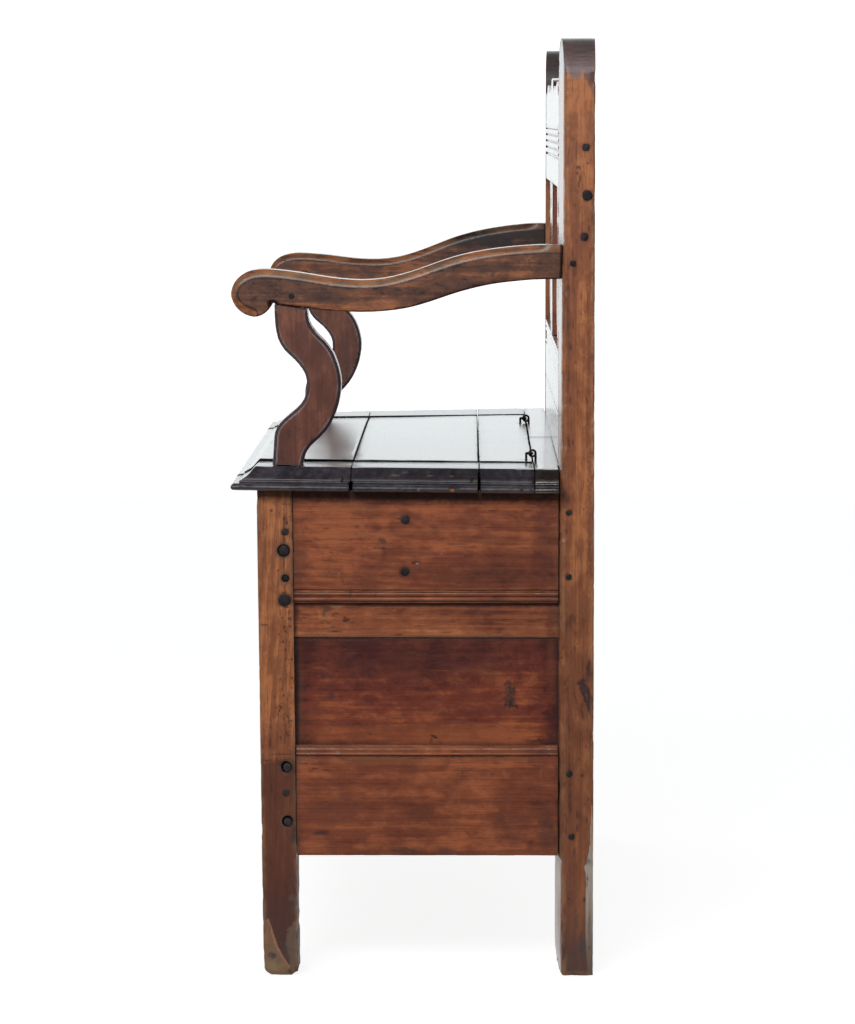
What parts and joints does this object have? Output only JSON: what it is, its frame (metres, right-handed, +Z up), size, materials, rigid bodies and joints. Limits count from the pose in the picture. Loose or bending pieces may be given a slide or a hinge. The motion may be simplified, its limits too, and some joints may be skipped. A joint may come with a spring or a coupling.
{
  "type": "settle bench",
  "caption": "Panelled wooden settle with a lift-up lid over a box seat, scrolled arms on S-shaped supports, and a framed back with a shaped crest rail and flat splats.",
  "frame": {"origin": "on the floor, at the centre of the bench's footprint box", "axes": "+Z up, the front of the seat faces -Y, +X towards the bench's right-hand end seen from the front"},
  "size_m": [1.112, 0.3863, 1],
  "materials": {
    "post_wood": "waxed fruitwood, worn edges, dark pegs",
    "rail_wood": "waxed reddish brown fruitwood",
    "panel_wood": "waxed dark red-brown board",
    "panel_light_wood": "waxed lighter orange-brown board",
    "seat_wood": "polished by use, nearly black at the moulded edge, scratched",
    "arm_wood": "handled, dark mottled wax",
    "support_wood": "waxed reddish brown",
    "inner_wood": "bare, unfinished inside timber",
    "peg_wood": "dark oak pegs",
    "hinge_iron": "hand-forged iron wire, dull"
  },
  "bodies": {
    "carcass": {"back_post_right": "post_wood", "back_post_left": "post_wood", "front_leg_right": "post_wood", "front_leg_left": "post_wood", "side_top_rail_right": "rail_wood", "side_top_rail_left": "rail_wood", "side_bottom_rail_right": "rail_wood", "side_bottom_rail_left": "rail_wood", "front_top_rail": "rail_wood", "front_bottom_rail": "rail_wood", "front_muntin": "rail_wood", "back_muntin": "rail_wood", "back_crest_rail": "rail_wood", "back_mid_rail": "rail_wood", "back_lower_board": "rail_wood", "rear_top_rail": "rail_wood", "rear_bottom_rail": "rail_wood", "back_splat_1": "rail_wood", "back_splat_2": "rail_wood", "back_splat_3": "rail_wood", "back_splat_4": "rail_wood", "side_panel_lower_board_right": "panel_wood", "side_panel_lower_board_left": "panel_wood", "front_panel_right": "panel_wood", "front_panel_left": "panel_wood", "side_panel_upper_board_right": "panel_light_wood", "side_panel_upper_board_left": "panel_light_wood", "seat_end_front_right": "seat_wood", "seat_end_front_left": "seat_wood", "seat_end_middle_right": "seat_wood", "seat_end_middle_left": "seat_wood", "seat_end_rear_right": "seat_wood", "seat_end_rear_left": "seat_wood", "seat_rear_board": "seat_wood", "rear_panel": "inner_wood", "floor_board_right": "inner_wood", "floor_board_left": "inner_wood", "seat_bearer_right": "inner_wood", "seat_bearer_left": "inner_wood", "arm_right": "arm_wood", "arm_left": "arm_wood", "arm_support_right": "support_wood", "arm_support_left": "support_wood", "peg_top_rail_upper_right": "peg_wood", "peg_top_rail_upper_left": "peg_wood", "peg_top_rail_lower_right": "peg_wood", "peg_top_rail_lower_left": "peg_wood", "peg_bottom_rail_upper_right": "peg_wood", "peg_bottom_rail_upper_left": "peg_wood", "peg_bottom_rail_lower_right": "peg_wood", "peg_bottom_rail_lower_left": "peg_wood", "hinge_eye_fixed_right": "hinge_iron", "hinge_eye_fixed_left": "hinge_iron"},
    "lid": {"lid_board_front": "seat_wood", "lid_board_middle": "seat_wood", "lid_board_rear": "seat_wood", "lid_batten_right": "inner_wood", "lid_batten_left": "inner_wood", "hinge_eye_lid_right": "hinge_iron", "hinge_eye_lid_left": "hinge_iron"}
  },
  "joints": [
    {"name": "lid_hinge", "type": "hinge", "parent": "carcass", "child": "lid", "pos_m": [0.0675, 0.1289, 0.5506], "axis": [-1, 0, 0], "range_deg": [0, 95]}
  ]
}
